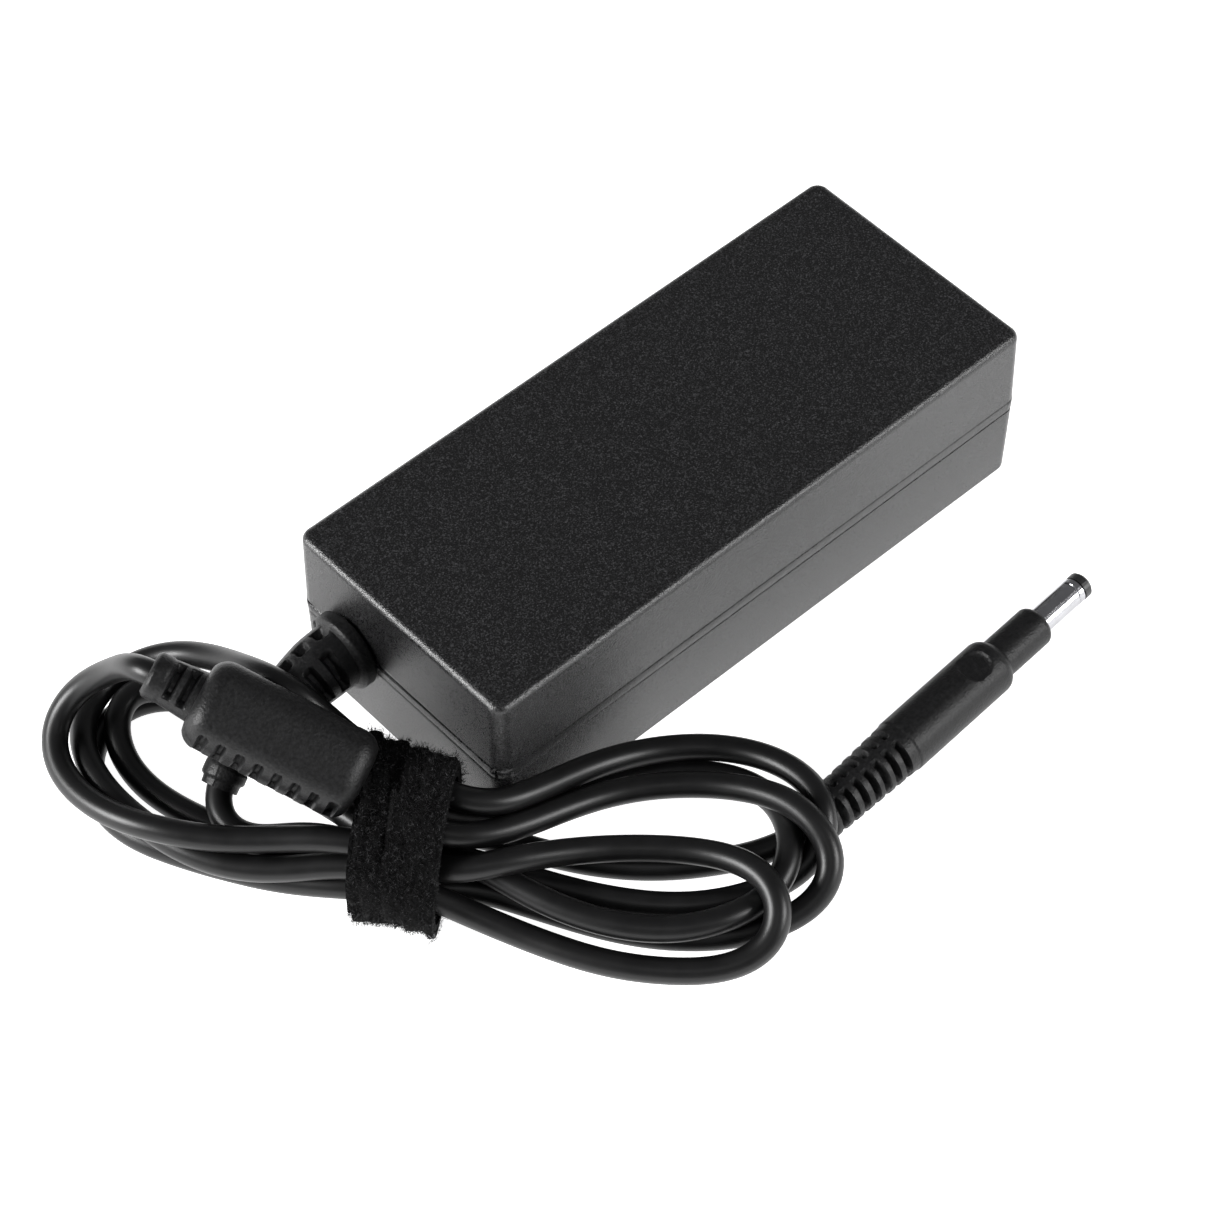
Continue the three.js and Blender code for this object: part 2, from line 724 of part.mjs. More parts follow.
add("top_shell", makeTopShell(), looks.texturedPlastic);
add("bottom_shell", makeBottomShell(), looks.texturedPlastic);
add("rating_label", box([-39.6, -17.6, 0.05], [29.6, 17.6, 0.25]), looks.label);
add("inlet_housing", makeInletHousing(), looks.blackPlastic);
for (const pin of PINS) {
  add(pin.name, makeInletPin(pin), looks.nickel);
}
addCircuit();
add("output_wire_positive", outputWire(EXIT_Y + 2.2), looks.blackPvc);
add("output_wire_negative", outputWire(EXIT_Y - 2.2), looks.creamCeramic);

add("cord_strain_relief", makeStrainRelief(), looks.blackPlastic);
add("cord_lead_in", tube(LEAD_IN, CORD, 10, 10), looks.blackPvc);
add("cord_loops_left", makeLoops(LEFT_OUTER, LEFT_INNER, LEFT_LOOPS_TOP), looks.blackPvc);
add("cord_loops_neck", makeNeck(), looks.blackPvc);
add("cord_loops_right", makeLoops(RIGHT_OUTER, RIGHT_INNER, RIGHT_LOOPS_TOP), looks.blackPvc);
add("cord_ferrite_run", tube(ferriteRun(), CORD, 34, 10), looks.blackPvc);
add("cord_lead_out", tube(LEAD_OUT, CORD, 4, 10), looks.blackPvc);
addFerrite();
add("tie_strap", makeStrap(), looks.fabric);
addPlug();

export default group;
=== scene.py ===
"""The looks of a laptop power adapter with its tied output lead.

Lengths are in millimetres until a mesh or curve is made. The frame is the CAD's: +Z up, the origin at
the centre of the case's bottom face, the output end at -X and the mains inlet at +X.
"""

import bmesh
import bpy
import numpy as np
from mathutils import Matrix, Vector


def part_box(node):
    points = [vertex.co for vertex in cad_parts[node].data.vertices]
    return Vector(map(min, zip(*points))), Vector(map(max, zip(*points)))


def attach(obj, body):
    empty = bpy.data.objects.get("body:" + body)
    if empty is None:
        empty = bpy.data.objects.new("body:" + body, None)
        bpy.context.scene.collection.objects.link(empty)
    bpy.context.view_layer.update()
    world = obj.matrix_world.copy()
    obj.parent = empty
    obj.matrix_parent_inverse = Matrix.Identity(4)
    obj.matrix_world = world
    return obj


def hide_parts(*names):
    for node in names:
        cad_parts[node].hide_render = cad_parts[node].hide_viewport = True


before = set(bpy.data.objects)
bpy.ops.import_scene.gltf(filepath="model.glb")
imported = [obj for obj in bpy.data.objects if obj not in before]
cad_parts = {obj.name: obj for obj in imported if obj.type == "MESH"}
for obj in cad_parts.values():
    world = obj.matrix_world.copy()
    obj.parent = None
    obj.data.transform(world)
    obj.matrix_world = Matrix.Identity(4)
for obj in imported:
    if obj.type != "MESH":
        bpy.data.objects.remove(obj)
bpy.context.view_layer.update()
MM = 0.001

# ---- camera --------------------------------------------------------------------------------------

CAMERA_PLACE = (-256.4, -271.5, 468.1)
CAMERA_AZIMUTH = np.radians(-41.874)
CAMERA_ELEVATION = np.radians(52.138)
CAMERA_ROLL = np.radians(-0.603)
LENS = 109.1
SENSOR_WIDTH = 36


def camera_axes():
    """The camera's right, up and back directions in the row frame."""
    azimuth, elevation, roll = CAMERA_AZIMUTH, CAMERA_ELEVATION, CAMERA_ROLL
    back = Vector(
        (
            np.sin(azimuth) * np.cos(elevation),
            -np.cos(azimuth) * np.cos(elevation),
            np.sin(elevation),
        )
    )
    right = Vector((np.cos(azimuth), np.sin(azimuth), 0))
    up = back.cross(right)
    rolled_right = np.cos(roll) * right + np.sin(roll) * up
    rolled_up = -np.sin(roll) * right + np.cos(roll) * up
    return rolled_right, rolled_up, back


def make_camera():
    """The scene's camera."""
    right, up, back = camera_axes()
    data = bpy.data.cameras.new("camera")
    data.lens = LENS
    data.sensor_width = SENSOR_WIDTH
    data.clip_start = 0.01
    data.clip_end = 20
    camera = bpy.data.objects.new("camera", data)
    turn = Matrix((right, up, back)).transposed().to_4x4()
    camera.matrix_world = Matrix.Translation(Vector(CAMERA_PLACE) * MM) @ turn
    bpy.context.scene.collection.objects.link(camera)
    bpy.context.scene.camera = camera


make_camera()

# ---- cord route ----------------------------------------------------------------------------------

CORD = 4.2  # the lead's diameter

# The axis of the strain relief, from inside the case to the relief's tip.
RELIEF_ROUTE = [
    (-51.8, 11.2, 16.4),
    (-56, 11.2, 16.4),
    (-62, 11.2, 16.2),
    (-70, 11.2, 13.8),
    (-76.5, 11.3, 11.2),
    (-81.2, 10.9, 9.0),
    (-84.4, 9.8, 6.9),
]

# The ferrite housing: its end by the strap, its end by its sleeve, its width, and the sleeve.
FERRITE_STRAP_END = np.array((-71, -9.2, 15.4))
FERRITE_SLEEVE_END = np.array((-83.5, 13.5, 25.8))
FERRITE_LENGTH = np.linalg.norm(FERRITE_SLEEVE_END - FERRITE_STRAP_END)
FERRITE_AXIS = (FERRITE_SLEEVE_END - FERRITE_STRAP_END) / FERRITE_LENGTH
FERRITE_WIDTH = 14
SLEEVE_LENGTH = 8

# The plug: the middle of its body's front shoulder, its turn from +X, and its lengths.
PLUG_SHOULDER = (21.6, -52.7, 4.7)
PLUG_TURN = np.radians(3.8)
PLUG_RELIEF_LENGTH = 19
PLUG_BODY_LENGTH = 22.6
PLUG_NECK_LENGTH = 10.4
PLUG_TAIL = -PLUG_BODY_LENGTH - PLUG_RELIEF_LENGTH  # the relief's end, from the shoulder

# The strap's middle, the direction of the hank's long axis, and half the strap's width.
STRAP_MIDDLE = (-72, -21)
HANK_TURN = np.radians(-48.7)
HANK_AXIS = np.array([np.cos(HANK_TURN), np.sin(HANK_TURN)])
HANK_SIDE = np.array([-HANK_AXIS[1], HANK_AXIS[0]])
STRAP_HALF = 6.75

# Where each strand goes through the strap: how far across the hank, and its height. "Left" is the
# strap's side towards the ferrite, and "right" is its side towards the plug.
LEFT_PLACES = {
    "lead in": (5.8, 4.6),
    "A": (1.2, 12.0),
    "B low": (-1.1, 8.5),
    "N low": (-2.6, 4.6),
    "C low": (1.6, 4.6),
    "N high": (10.0, 4.6),
    "C high": (6.2, 8.6),
    "ferrite": (7.6, 13.9),
    "B high": (12.6, 11.6),
}
RIGHT_PLACES = {
    "R1 high": (6.6, 15.3),
    "R2 high": (6.2, 10.9),
    "R3 high": (1.1, 12.5),
    "R4 high": (-2.4, 10.0),
    "plug": (8.2, 4.6),
    "R1 low": (4.0, 4.6),
    "R2 low": (1.9, 8.3),
    "R3 low": (-0.3, 4.6),
    "R4 low": (-4.6, 4.6),
}

# The listed stretches outside the strap, in the order that the lead runs.
LEAD_IN = [(-86.4, 7.8, 4.9), (-86.9, 5, 3.1), (-86.3, 2.6, 2.25), (-84.8, 0.2, 2.2)]
TURN_R1 = [
    (-59.5, -31, 3), (-53.5, -41, 2.1), (-45.5, -51, 2.1), (-37.5, -56.5, 2.1), (-30.5, -59, 3.5),
    (-23, -59, 6), (-18, -53.5, 6.5), (-17.5, -44.5, 6.5), (-22.5, -37, 7.5), (-32.5, -31, 9.5),
    (-39, -28.5, 11), (-46, -27, 12), (-55, -25, 13.5),
]
TURN_B = [
    (-67.5, -2.5, 15.5), (-70, 5, 20), (-70, 15, 17), (-70.5, 25, 12), (-72.5, 33.5, 8),
    (-79, 38.5, 6), (-88, 37.5, 5), (-94, 31, 4.5), (-96.5, 24, 5), (-97, 14, 5.5),
    (-94.5, 3, 6.5), (-91.5, -3, 6.5), (-84, -11.5, 7.5),
]
TURN_R4 = [
    (-66.5, -37.5, 2.1), (-63.5, -45, 2.1), (-60.5, -51, 2.1), (-56.5, -56, 2.1),
    (-49, -62.8, 2.5), (-41.4, -68, 7), (-36.4, -62.5, 11), (-38, -53, 10), (-45, -44, 9.5),
    (-55.5, -36, 10.5), (-61, -32.5, 10.5),
]
TURN_N = [
    (-74.5, 24, 2.1), (-78, 32.5, 2.1), (-85.5, 34.5, 2.1), (-92.5, 32, 2.1), (-96.5, 26.5, 2.1),
    (-98.5, 17.5, 2.1), (-95, 8, 2.1), (-92, 1.5, 2.1), (-88.5, -4, 2.1),
]
TURN_R3 = [
    (-62.5, -34, 2.1), (-57, -45, 2.1), (-49.5, -55, 2.1), (-40, -62.5, 3.5), (-31.2, -66.2, 5.5),
    (-25.1, -64.8, 9), (-23.7, -54.7, 10.5), (-28.5, -45, 11), (-33, -40.5, 11), (-40.5, -35.5, 12),
    (-49, -32, 12.5), (-57.5, -29, 12.5),
]
TURN_C = [
    (-76.5, 18, 2.8), (-76.5, 29, 3.6), (-79.5, 34.2, 4.5), (-85.5, 32.5, 5.5), (-90, 27, 5),
    (-91.5, 20.5, 4), (-88.5, 10, 2.1), (-84, 0, 2.1),
]
TURN_R2 = [
    (-63, -34.5, 6.5), (-58, -45.5, 6), (-54.5, -51, 6), (-45, -59.5, 6), (-36.5, -61, 6),
    (-29, -59, 6.5), (-24, -53.5, 6.5), (-23, -46.5, 6.5), (-26, -39.5, 6.5), (-37, -32, 7.5),
    (-46.5, -29, 9), (-57.5, -25.5, 10),
]
TURN_A = [
    (-87, 28.5, 20.5), (-92, 34.5, 15), (-99, 33.5, 10.5), (-101.3, 25, 8.5), (-99.8, 17.5, 8),
    (-96, 8.5, 8.5), (-90, -0.5, 9.5), (-85, -5.5, 10.5),
]
LEAD_OUT = [
    (-56, -26.5, 2.5), (-52.5, -33, 2.1), (-48.5, -38, 2.1), (-44, -43, 2.1), (-39, -47, 2.1),
    (-30, -52, 2.1), (-23, -54.8, 3.6),
]


def across_hank(along, across, height):
    """A point given along and across the hank from the strap's middle."""
    flat = np.array(STRAP_MIDDLE) + along * HANK_AXIS + across * HANK_SIDE
    return np.array([flat[0], flat[1], height])


def strap_pass(left, right, leftwards):
    """The points of one strand inside the strap, in the order that the lead runs."""
    a, b = np.array(LEFT_PLACES[left]), np.array(RIGHT_PLACES[right])
    points = []
    for share in (0, 1 / 3, 2 / 3, 1):
        across, height = a + (b - a) * share
        points.append(across_hank((2 * share - 1) * STRAP_HALF, across, height))
    return points[::-1] if leftwards else points


def ferrite_pass():
    """The points of the strand inside the ferrite, from the strap to just past the sleeve."""
    within = [FERRITE_STRAP_END + run * FERRITE_AXIS for run in (0, 9, 18)]
    past_sleeve = FERRITE_SLEEVE_END + (SLEEVE_LENGTH + 1) * FERRITE_AXIS
    return [*within, FERRITE_SLEEVE_END, past_sleeve]


def plug_point(along):
    """A point on the plug's axis, given from its front shoulder."""
    axis = np.array([np.cos(PLUG_TURN), np.sin(PLUG_TURN), 0])
    return np.array(PLUG_SHOULDER) + along * axis


# The whole lead from the case to the plug: what holds each stretch, and its points.
ROUTE = [
    ("held", RELIEF_ROUTE[-3:]),
    ("free", LEAD_IN),
    ("strap", strap_pass("lead in", "R1 low", False)),
    ("free", TURN_R1),
    ("strap", strap_pass("B high", "R1 high", True)),
    ("free", TURN_B),
    ("strap", strap_pass("B low", "R4 low", False)),
    ("free", TURN_R4),
    ("strap", strap_pass("N high", "R4 high", True)),
    ("free", TURN_N),
    ("strap", strap_pass("N low", "R3 low", False)),
    ("free", TURN_R3),
    ("strap", strap_pass("C high", "R3 high", True)),
    ("free", TURN_C),
    ("strap", strap_pass("C low", "R2 low", False)),
    ("free", TURN_R2),
    ("strap", strap_pass("ferrite", "R2 high", True)),
    ("ferrite", ferrite_pass()),
    ("free", TURN_A),
    ("strap", strap_pass("A", "plug", False)),
    ("free", LEAD_OUT),
    ("held", [plug_point(PLUG_TAIL), plug_point(PLUG_TAIL + 4)]),
]

# ---- cord settling -------------------------------------------------------------------------------

FINE_STEPS = 12  # between two knots, before the even spacing
SPACING = 2.8  # between the centreline's points
ROUNDS = 1100
SAG = 0.012  # how far the loose points drop in a round
BEND_PASSES = 5
BEND_SHARE = 0.05
DRIFT_SHARE = 0.03  # how strongly a free point keeps its laid place, as seen from the camera
HOLDS = {"held": 1.0, "ferrite": 0.25, "strap": 0.06}  # how strongly a point keeps its laid place
LENGTH_SHARE = 0.25
PUSH_PASSES = 2
PUSH_SHARE = 0.3
NEIGHBOURS = 5  # points nearer than this along the lead don't push each other
RELIEF_POINTS = 9  # the lead's first points, which come out of the relief
FERRITE_POINTS = 14  # the points on each side of the ferrite's middle, which go through it
RELIEF_RADII = [5.6, 5.4, 4.9, 4.3, 3.9, 3.5]  # at the relief's points from the second on
SLEEVE_RADIUS = 4
FLOOR_CLEARANCE = 0.05


def smooth_line(knots, step):
    """Points about step apart on a smooth curve through the knots, and the knot number at each."""
    knots = np.asarray(knots, float)
    ends = np.vstack([2 * knots[0] - knots[1], knots, 2 * knots[-1] - knots[-2]])
    fine, owner = [], []
    shares = np.arange(FINE_STEPS) / FINE_STEPS
    for i in range(1, len(ends) - 2):
        p0, p1, p2, p3 = ends[i - 1 : i + 3]
        before = np.linalg.norm(p1 - p0) ** 0.5 + 1e-9
        here = np.linalg.norm(p2 - p1) ** 0.5 + 1e-9
        after = np.linalg.norm(p3 - p2) ** 0.5 + 1e-9
        slope1 = p2 - p1 + here * ((p1 - p0) / before - (p2 - p0) / (before + here))
        slope2 = p2 - p1 + here * ((p3 - p2) / after - (p3 - p1) / (here + after))
        for t in shares:
            fine.append(
                (2 * t**3 - 3 * t**2 + 1) * p1
                + (t**3 - 2 * t**2 + t) * slope1
                + (3 * t**2 - 2 * t**3) * p2
                + (t**3 - t**2) * slope2
            )
            owner.append(i - 1 + t)
    fine.append(knots[-1])
    owner.append(len(knots) - 1)
    fine = np.array(fine)
    run = np.r_[0, np.cumsum(np.linalg.norm(np.diff(fine, axis=0), axis=1))]
    places = np.linspace(0, run[-1], int(round(run[-1] / step)) + 1)
    line = np.stack([np.interp(places, run, fine[:, k]) for k in range(3)], 1)
    return line, np.interp(places, run, owner)


def keep_off(points, mask, start, end, radius_start, radius_end):
    """Moves the masked points out of a tapered round bar."""
    start, end = np.array(start, float), np.array(end, float)
    axis = end - start
    share = np.clip((points - start) @ axis / (axis @ axis), 0, 1)
    away = points - start - share[:, None] * axis
    distance = np.linalg.norm(away, axis=1) + 1e-9
    push = np.clip(radius_start + (radius_end - radius_start) * share - distance, 0, None)
    points += away / distance[:, None] * (push * mask)[:, None]


def frame_box(node):
    """A CAD node's two corners in millimetres."""
    return [np.array(corner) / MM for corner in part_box(node)]


def bend_evenly(line):
    """Spreads each bend over its neighbours, as a springy lead does."""
    for _ in range(BEND_PASSES):
        bend = np.zeros_like(line)
        bend[1:-1] = line[:-2] + line[2:] - 2 * line[1:-1]
        change = np.zeros_like(line)
        change[1:-1] = bend[:-2] + bend[2:] - 2 * bend[1:-1]
        line[1:-1] -= BEND_SHARE * change[1:-1]


def keep_length(line, step):
    """Draws each two neighbours towards the step that they were laid at."""
    for start in (0, 1, 0, 1):
        a, b = line[start:-1:2], line[start + 1 :: 2]
        size = min(len(a), len(b))
        a, b = a[:size], b[:size]
        link = b - a
        length = np.linalg.norm(link, axis=1)
        change = ((length - step) / length * LENGTH_SHARE)[:, None] * link
        a += change
        b -= change


def push_strands_apart(line, first, second, loose):
    """Moves every two points of different strands that are nearer than the lead's diameter."""
    for _ in range(PUSH_PASSES):
        gap = line[first] - line[second]
        distance = np.sqrt((gap * gap).sum(1))
        close = np.nonzero(distance < CORD)[0]
        i, j = first[close], second[close]
        push = gap[close] * (PUSH_SHARE * (CORD / (distance[close] + 1e-9) - 1))[:, None]
        np.add.at(line, i, push * loose[i][:, None])
        np.add.at(line, j, -push * loose[j][:, None])


def keep_off_mouldings(line, past_relief, past_ferrite):
    """Keeps the lead out of the relief, the ferrite housing and its sleeve."""
    half = CORD / 2
    stretches = zip(RELIEF_ROUTE[1:], RELIEF_ROUTE[2:], RELIEF_RADII, RELIEF_RADII[1:])
    for start, end, radius_start, radius_end in stretches:
        keep_off(line, past_relief, start, end, radius_start + half, radius_end + half)
    block = FERRITE_WIDTH / 2 + half
    keep_off(line, past_ferrite, FERRITE_STRAP_END, FERRITE_SLEEVE_END, block, block)
    sleeve = SLEEVE_RADIUS + half
    sleeve_tip = FERRITE_SLEEVE_END + SLEEVE_LENGTH * FERRITE_AXIS
    keep_off(line, past_ferrite, FERRITE_SLEEVE_END, sleeve_tip, sleeve, sleeve)


def keep_off_case(line, loose, corner):
    """Keeps the lead out of the case, whose corner nearest to the hank is given."""
    half = CORD / 2
    over = np.stack([corner[0] - half - line[:, 0], corner[1] - half - line[:, 1]], 1)
    inside = (over < 0).all(1) & loose
    by_end = inside & (over[:, 0] >= over[:, 1])
    by_side = inside & (over[:, 1] > over[:, 0])
    line[by_end, 0] = corner[0] - half
    line[by_side, 1] = corner[1] - half


def settle():
    """The lead's centreline at rest. It bends evenly, lies on the floor, on itself and against the case,
    and keeps near its laid route as seen from the camera."""
    knots = np.array([p for _, stretch in ROUTE for p in stretch])
    kinds = np.array([kind for kind, stretch in ROUTE for _ in stretch])
    line, owner = smooth_line(knots, SPACING)
    kind = kinds[np.clip(np.round(owner).astype(int), 0, len(kinds) - 1)]
    laid = line.copy()
    number = np.arange(len(line))
    step = np.linalg.norm(np.diff(line, axis=0), axis=1).mean()
    hold = np.select([kind == name for name in HOLDS], list(HOLDS.values()), 0.0)
    loose = kind != "held"
    free = hold == 0
    sight = np.array(camera_axes()[2])
    first, second = np.triu_indices(len(line), NEIGHBOURS)
    past_relief = loose & (number > RELIEF_POINTS)
    from_ferrite = np.abs(number - number[kind == "ferrite"].mean())
    past_ferrite = loose & (from_ferrite > FERRITE_POINTS)
    corner = frame_box("top_shell")[0]
    for _ in range(ROUNDS):
        line[loose, 2] -= SAG
        bend_evenly(line)
        drift = laid - line
        drift -= np.outer(drift @ sight, sight)
        line[free] += DRIFT_SHARE * drift[free]
        line += hold[:, None] * (laid - line)
        keep_length(line, step)
        push_strands_apart(line, first, second, loose)
        keep_off_mouldings(line, past_relief, past_ferrite)
        keep_off_case(line, loose, corner)
        line[:, 2] = np.maximum(line[:, 2], CORD / 2 + FLOOR_CLEARANCE)
    return line


def route_line():
    return settle()


# ---- materials -----------------------------------------------------------------------------------


def link(tree, a, out, b, into):
    """Links one node's output to another node's input."""
    tree.links.new(a.outputs[out], b.inputs[into])


def surface(
    name, low, high, grain, rough, swing=0.05, bump=0.0, bump_grain=900, band=(0.35, 0.68), **shader
):
    """A material whose colour and roughness vary with fine noise, with an optional bump in millimetres.
    band is the part of the noise over which the colour goes from low to high, and shader sets other
    sockets by name, with _ for a space."""
    material = bpy.data.materials.new(name)
    material.use_nodes = True
    tree = material.node_tree
    principled = tree.nodes["Principled BSDF"]
    place = tree.nodes.new("ShaderNodeTexCoord")
    noise = tree.nodes.new("ShaderNodeTexNoise")
    noise.inputs["Scale"].default_value = grain
    noise.inputs["Detail"].default_value = 4
    link(tree, place, "Object", noise, "Vector")
    ramp = tree.nodes.new("ShaderNodeValToRGB")
    ramp.color_ramp.elements[0].position = band[0]
    ramp.color_ramp.elements[1].position = band[1]
    ramp.color_ramp.elements[0].color = (*low, 1)
    ramp.color_ramp.elements[1].color = (*high, 1)
    link(tree, noise, "Fac", ramp, "Fac")
    link(tree, ramp, "Color", principled, "Base Color")
    spread = tree.nodes.new("ShaderNodeMapRange")
    spread.inputs["To Min"].default_value = rough - swing
    spread.inputs["To Max"].default_value = rough + swing
    link(tree, noise, "Fac", spread, "Value")
    link(tree, spread, "Result", principled, "Roughness")
    for socket, value in shader.items():
        principled.inputs[socket.replace("_", " ")].default_value = value
    if bump:
        relief = tree.nodes.new("ShaderNodeTexNoise")
        relief.inputs["Scale"].default_value = bump_grain
        relief.inputs["Detail"].default_value = 3
        link(tree, place, "Object", relief, "Vector")
        raised = tree.nodes.new("ShaderNodeBump")
        raised.inputs["Distance"].default_value = bump * MM
        link(tree, relief, "Fac", raised, "Height")
        link(tree, raised, "Normal", principled, "Normal")
    return material


def grey(value):
    """A neutral colour with a trace of blue."""
    return (value, value, value * 1.04)


# The look of each slot: its colours, the grain of its noise, its roughness, and its bump.
LOOKS = {
    # The case's colour has rare flecks far lighter than its black, which stand in for the glints that
    # its grained finish throws: painted glints, beside the real grain bump.
    "case_plastic": dict(
        low=grey(0.003), high=grey(0.075), grain=4600, rough=0.29, swing=0.1, bump=0.09,
        bump_grain=4200, band=(0.53, 0.76),
    ),
    "relief_pvc": dict(
        low=grey(0.003), high=grey(0.01), grain=1900, rough=0.44, swing=0.07, bump=0.08,
        bump_grain=2600, Specular_IOR_Level=0.27,
    ),
    "cord_pvc": dict(
        low=grey(0.003), high=grey(0.005), grain=260, rough=0.37, swing=0.05, bump=0.01,
        bump_grain=900, Specular_IOR_Level=0.33,
    ),
    "strap_fabric": dict(
        low=grey(0.001), high=grey(0.006), grain=2200, rough=0.95, swing=0.04, bump=0.5,
        bump_grain=1800, Specular_IOR_Level=0.1,
    ),
    "blank_label": dict(low=grey(0.03), high=grey(0.036), grain=900, rough=0.5, swing=0.04, bump=0.01),
    "inlet_plastic": dict(
        low=grey(0.008), high=grey(0.014), grain=900, rough=0.4, swing=0.05, bump=0.03,
    ),
    "black_plastic": dict(
        low=grey(0.01), high=grey(0.016), grain=900, rough=0.38, swing=0.05, bump=0.02,
    ),
    "black_epoxy": dict(
        low=grey(0.014), high=grey(0.024), grain=1400, rough=0.5, swing=0.06, bump=0.03,
    ),
    "ferrite": dict(low=grey(0.035), high=grey(0.055), grain=1200, rough=0.55, swing=0.08, bump=0.05),
    "chrome": dict(
        low=grey(0.38), high=grey(0.44), grain=300, rough=0.16, swing=0.03, bump=0.003,
        bump_grain=2500, Metallic=1.0,
    ),
    "nickel": dict(
        low=grey(0.5), high=(0.6, 0.59, 0.56), grain=500, rough=0.24, swing=0.05, bump=0.004,
        bump_grain=1800, Metallic=1.0,
    ),
    "aluminium": dict(
        low=grey(0.52), high=grey(0.62), grain=400, rough=0.38, swing=0.08, bump=0.01, bump_grain=1500,
        Metallic=1.0,
    ),
    "copper": dict(
        low=(0.4, 0.13, 0.05), high=(0.55, 0.22, 0.1), grain=300, rough=0.32, swing=0.06, bump=0.02,
        Metallic=1.0,
    ),
    "board": dict(
        low=(0.03, 0.1, 0.045), high=(0.045, 0.14, 0.06), grain=700, rough=0.45, swing=0.05, bump=0.02,
    ),
    "insulating_film": dict(
        low=(0.22, 0.2, 0.16), high=(0.27, 0.25, 0.2), grain=300, rough=0.4, swing=0.05, bump=0.01,
    ),
    "cream_ceramic": dict(low=(0.58, 0.5, 0.36), high=(0.68, 0.6, 0.46), grain=600, rough=0.4),
    "green_ceramic": dict(low=(0.03, 0.08, 0.05), high=(0.05, 0.12, 0.07), grain=600, rough=0.4),
    "blue_ceramic": dict(low=(0.03, 0.12, 0.35), high=(0.05, 0.17, 0.42), grain=600, rough=0.35),
    "yellow_film": dict(low=(0.6, 0.42, 0.06), high=(0.7, 0.5, 0.1), grain=500, rough=0.35),
    "taped_winding": dict(low=(0.6, 0.4, 0.05), high=(0.7, 0.48, 0.09), grain=400, rough=0.35),
    "white_wire": dict(low=grey(0.6), high=grey(0.68), grain=400, rough=0.35),
}
MATERIALS = {name: surface(name, **look) for name, look in LOOKS.items()}
FIBRES = surface(
    "strap_fibres", low=grey(0.001), high=grey(0.05), grain=1300, rough=0.7, band=(0.46, 0.7),
    Specular_IOR_Level=0.15,
)
PALE_FIBRES = surface("strap_hooks", low=grey(0.22), high=grey(0.4), grain=700, rough=0.6)

# ---- mesh helpers --------------------------------------------------------------------------------


def make_object(name, points, faces, material, smooth_angle=40):
    """A mesh object from points in millimetres, smooth up to the given angle, on the one body."""
    mesh = bpy.data.meshes.new(name)
    mesh.from_pydata((np.asarray(points) * MM).tolist(), [], faces)
    finish_mesh(mesh, smooth_angle)
    mesh.materials.append(material)
    piece = bpy.data.objects.new(name, mesh)
    bpy.context.scene.collection.objects.link(piece)
    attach(piece, "root")
    return piece


def finish_mesh(mesh, smooth_angle, weld=0.0):
    """Turns every face outwards and shades the mesh smooth, apart from edges above the angle."""
    edit = bmesh.new()
    edit.from_mesh(mesh)
    if weld:
        bmesh.ops.remove_doubles(edit, verts=edit.verts, dist=weld)
    bmesh.ops.recalc_face_normals(edit, faces=edit.faces)
    edit.to_mesh(mesh)
    edit.free()
    mesh.shade_smooth()
    mesh.set_sharp_from_angle(angle=np.radians(smooth_angle))
    mesh.update()


def window(value, middle, half, soft):
    """1 near the middle and 0 far from it, with a slope of width soft at half on each side."""
    return np.clip((half - np.abs(value - middle)) / soft + 0.5, 0, 1)


def turned(angle, middle):
    """The angle from the middle, in degrees, between -180 and 180."""
    return (angle - middle + 180) % 360 - 180


def swept(name, route, radius, around=112, step=0.3):
    """A closed soft PVC body along a route: radius(s, angle) gives its radius, where s is the run along
    the route and angle is in degrees, 0 at the top."""
    line, _ = smooth_line(route, step)
    run = np.r_[0, np.cumsum(np.linalg.norm(np.diff(line, axis=0), axis=1))]
    along = np.gradient(line, axis=0)
    along /= np.linalg.norm(along, axis=1)[:, None]
    side = np.cross(along, (0, 0, 1))
    side /= np.linalg.norm(side, axis=1)[:, None]
    up = np.cross(side, along)
    angle = np.arange(around) * 360 / around
    radii = radius(run[:, None], angle[None, :]) * np.ones((len(run), around))
    turn = np.radians(angle)
    outward = np.cos(turn)[None, :, None] * up[:, None] + np.sin(turn)[None, :, None] * side[:, None]
    rings = (line[:, None] + radii[..., None] * outward).reshape(-1, 3)
    points = np.vstack([rings, line[:1], line[-1:]])
    faces = []
    for i in range(len(line) - 1):
        for j in range(around):
            k = (j + 1) % around
            low, high = i * around, (i + 1) * around
            faces.append((low + j, high + j, high + k, low + k))
    last = (len(line) - 1) * around
    first_middle, last_middle = len(rings), len(rings) + 1
    for j in range(around):
        k = (j + 1) % around
        faces.append((first_middle, j, k))
        faces.append((last_middle, last + k, last + j))
    return make_object(name, points, faces, MATERIALS["relief_pvc"], 50)


def profile(*stops):
    """A radius that runs straight between (run, radius) stops."""
    runs, radii = zip(*stops)
    return lambda s: np.interp(s, runs, radii)


# ---- cord ----------------------------------------------------------------------------------------


def make_cord(line):
    """The lead as one round curve through its centreline."""
    curve = bpy.data.curves.new("output_cord", "CURVE")
    curve.dimensions = "3D"
    curve.bevel_depth = CORD / 2 * MM
    curve.bevel_resolution = 6
    curve.resolution_u = 3
    curve.use_fill_caps = True
    spline = curve.splines.new("NURBS")
    spline.points.add(len(line) - 1)
    for point, place in zip(spline.points, line):
        point.co = (*(place * MM), 1)
    spline.order_u = 4
    spline.use_endpoint_u = True
    curve.materials.append(MATERIALS["cord_pvc"])
    cord = bpy.data.objects.new("output_cord", curve)
    bpy.context.scene.collection.objects.link(cord)
    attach(cord, "root")
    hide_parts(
        "cord_lead_in",
        "cord_loops_left",
        "cord_loops_neck",
        "cord_loops_right",
        "cord_ferrite_run",
        "cord_lead_out",
    )
    return cord


# ---- strain relief at the case -------------------------------------------------------------------

